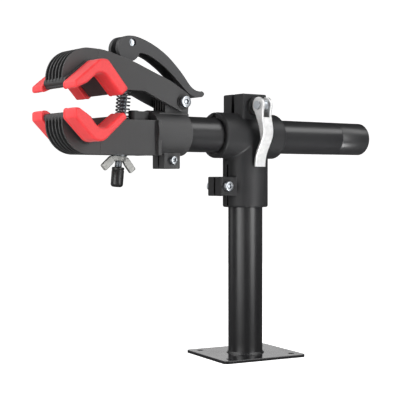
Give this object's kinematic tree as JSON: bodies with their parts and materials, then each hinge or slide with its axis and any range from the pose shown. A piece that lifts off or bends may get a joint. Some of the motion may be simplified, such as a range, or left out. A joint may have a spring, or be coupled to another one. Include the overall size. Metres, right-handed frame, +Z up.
{
  "type": "bench mount bicycle repair clamp",
  "caption": "Bench-mounted bicycle repair clamp: bolt-down post, swivelling T-head with a sliding, rolling arm, and a cam-lever jaw with soft V covers.",
  "frame": {"origin": "centre of the base plate's bolt pattern on its underside, on the post's axis", "axes": "+Z up along the post, X and Y along the plate's long and short sides; the jaw points to -X, turned 8.3 degrees about the post"},
  "size_m": [0.4223, 0.1237, 0.3408],
  "materials": {
    "plate_steel": "gloss black powder coat",
    "tube_steel": "satin black paint",
    "head_moulding": "matte black, fine moulded grain",
    "jaw_moulding": "dark grey, fine moulded grain",
    "cam_lever_moulding": "dark grey, satin",
    "pad_rubber": "red, soft sheen",
    "zinc_steel": "bright zinc plate",
    "spring_steel": "drawn wire, lightly oiled",
    "wing_zinc": "cast, tumbled",
    "lever_aluminium": "polished",
    "black_plastic": "satin black",
    "cap_rubber": "black, matt",
    "cap_moulding": "satin black"
  },
  "bodies": {
    "base": {"base_plate": "plate_steel", "post_tube": "tube_steel", "post_weld": "plate_steel"},
    "head": {"t_head": "head_moulding", "post_clamp_screw": "zinc_steel", "post_clamp_nut": "zinc_steel", "qr_skewer": "zinc_steel", "qr_cross_pin": "zinc_steel", "qr_cup": "black_plastic", "qr_nut": "zinc_steel", "qr_washer": "zinc_steel"},
    "qr_lever": {"qr_lever": "lever_aluminium"},
    "liner": {"tube_liner": "black_plastic"},
    "arm": {"arm_tube": "tube_steel", "tube_end_cap": "cap_moulding", "lower_jaw": "jaw_moulding", "lower_pad_front": "pad_rubber", "lower_pad_back": "pad_rubber", "pivot_bolt": "zinc_steel", "pivot_washers": "black_plastic", "pivot_nut": "zinc_steel", "sleeve_screw": "zinc_steel", "sleeve_nut": "zinc_steel", "jaw_spring": "spring_steel"},
    "upper_jaw": {"upper_jaw": "jaw_moulding", "upper_pad_front": "pad_rubber", "upper_pad_back": "pad_rubber"},
    "rod": {"clamp_rod": "zinc_steel", "barrel_pin": "zinc_steel", "rod_end_cap": "cap_rubber"},
    "nut_washer": {"nut_washer": "zinc_steel"},
    "wing_nut": {"wing_nut": "wing_zinc"},
    "cam_lever": {"cam_lever": "cam_lever_moulding"}
  },
  "joints": [
    {"name": "head_swivel", "type": "hinge", "parent": "base", "child": "head", "pos_m": [0, 0, 0.19], "axis": [0, 0, 1], "continuous": true},
    {"name": "arm_roll", "type": "hinge", "parent": "head", "child": "liner", "pos_m": [0, 0, 0.2427], "axis": [0.9895, 0.1444, 0], "continuous": true},
    {"name": "arm_slide", "type": "slide", "parent": "liner", "child": "arm", "axis": [0.9895, 0.1444, 0], "range_m": [-0.1, 0.02]},
    {"name": "jaw_open", "type": "hinge", "parent": "arm", "child": "upper_jaw", "pos_m": [-0.09628, -0.01405, 0.2754], "axis": [-0.1444, 0.9895, 0], "range_deg": [-6.5, 4.5], "deforming": ["jaw_spring"]},
    {"name": "rod_swing", "type": "hinge", "parent": "upper_jaw", "child": "rod", "pos_m": [-0.15278, -0.02229, 0.334], "axis": [-0.1444, 0.9895, 0], "range_deg": [-4, 4]},
    {"name": "nut_travel", "type": "slide", "parent": "rod", "child": "nut_washer", "axis": [-0.0897, -0.0131, -0.9959], "range_m": [-0.008, 0.0055]},
    {"name": "wing_nut_turn", "type": "hinge", "parent": "nut_washer", "child": "wing_nut", "pos_m": [-0.16328, -0.02382, 0.21748], "axis": [-0.0897, -0.0131, -0.9959], "continuous": true},
    {"name": "cam_lever_lift", "type": "hinge", "parent": "upper_jaw", "child": "cam_lever", "pos_m": [-0.15278, -0.02229, 0.334], "axis": [0.1444, -0.9895, 0], "range_deg": [0, 110]},
    {"name": "qr_lever_open", "type": "hinge", "parent": "head", "child": "qr_lever", "pos_m": [0.00271, -0.03245, 0.275], "axis": [-0.9895, -0.1444, 0], "range_deg": [0, 150]}
  ],
  "couplings": [
    {"joint": "rod_swing", "follows": "jaw_open", "ratio": -0.536},
    {"joint": "nut_travel", "follows": "jaw_open", "m_per_rad": 0.0622}
  ]
}
